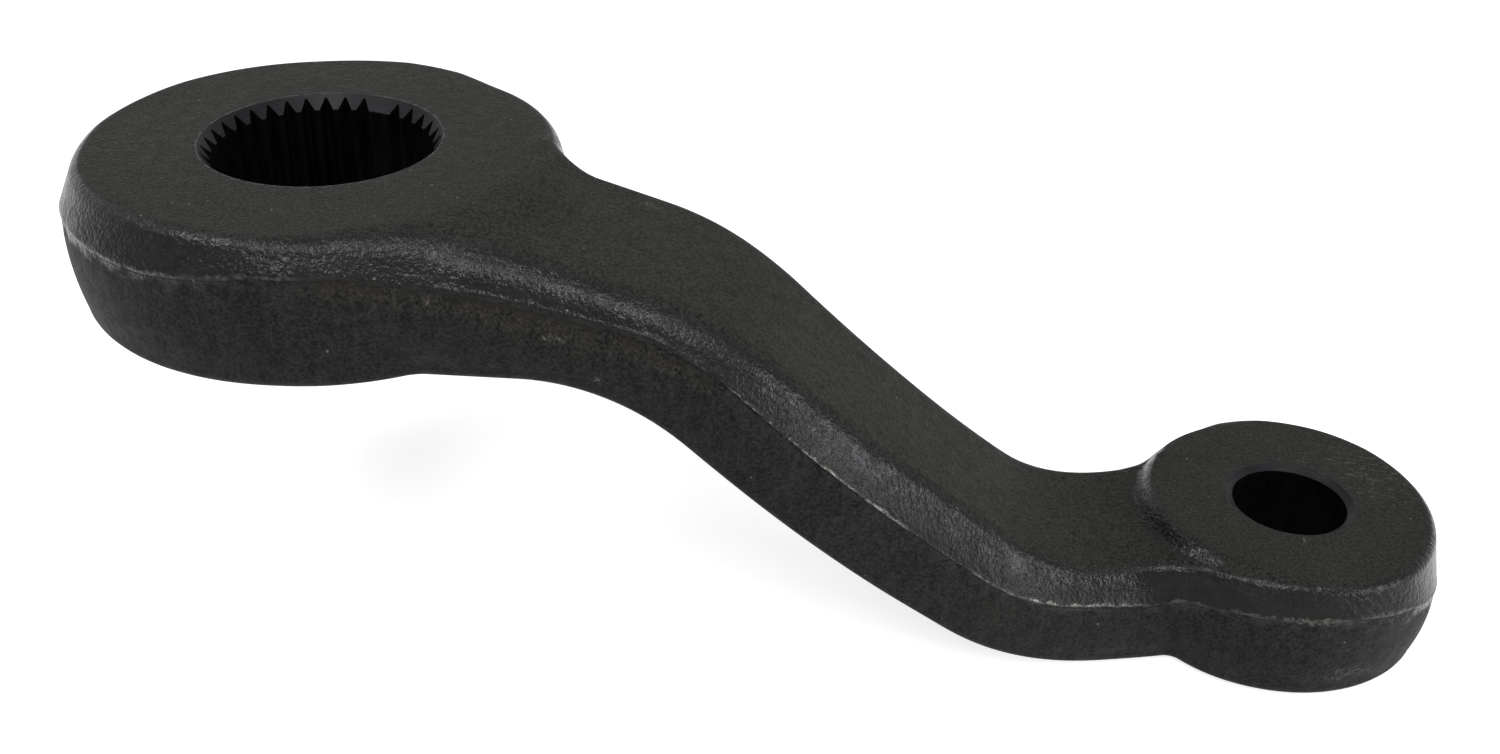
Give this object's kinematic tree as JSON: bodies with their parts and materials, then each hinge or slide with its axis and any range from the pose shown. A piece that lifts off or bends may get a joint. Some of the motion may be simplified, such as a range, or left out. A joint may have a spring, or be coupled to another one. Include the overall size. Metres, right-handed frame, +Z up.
{
  "type": "pitman arm",
  "caption": "Black forged steel pitman arm: a splined boss and a lower stud boss joined by a cranked, blended arm.",
  "frame": {"origin": "centre of the splined bore on its boss's upper face", "axes": "+Z up along the splined bore, +X from the splined bore towards the stud bore"},
  "size_m": [0.2016, 0.0712, 0.0652],
  "materials": {
    "forged_steel": "near-black coated forging, satin on the rounded edges and matte on the faces"
  },
  "bodies": {
    "root": {"pitman_arm": "forged_steel"}
  },
  "joints": []
}
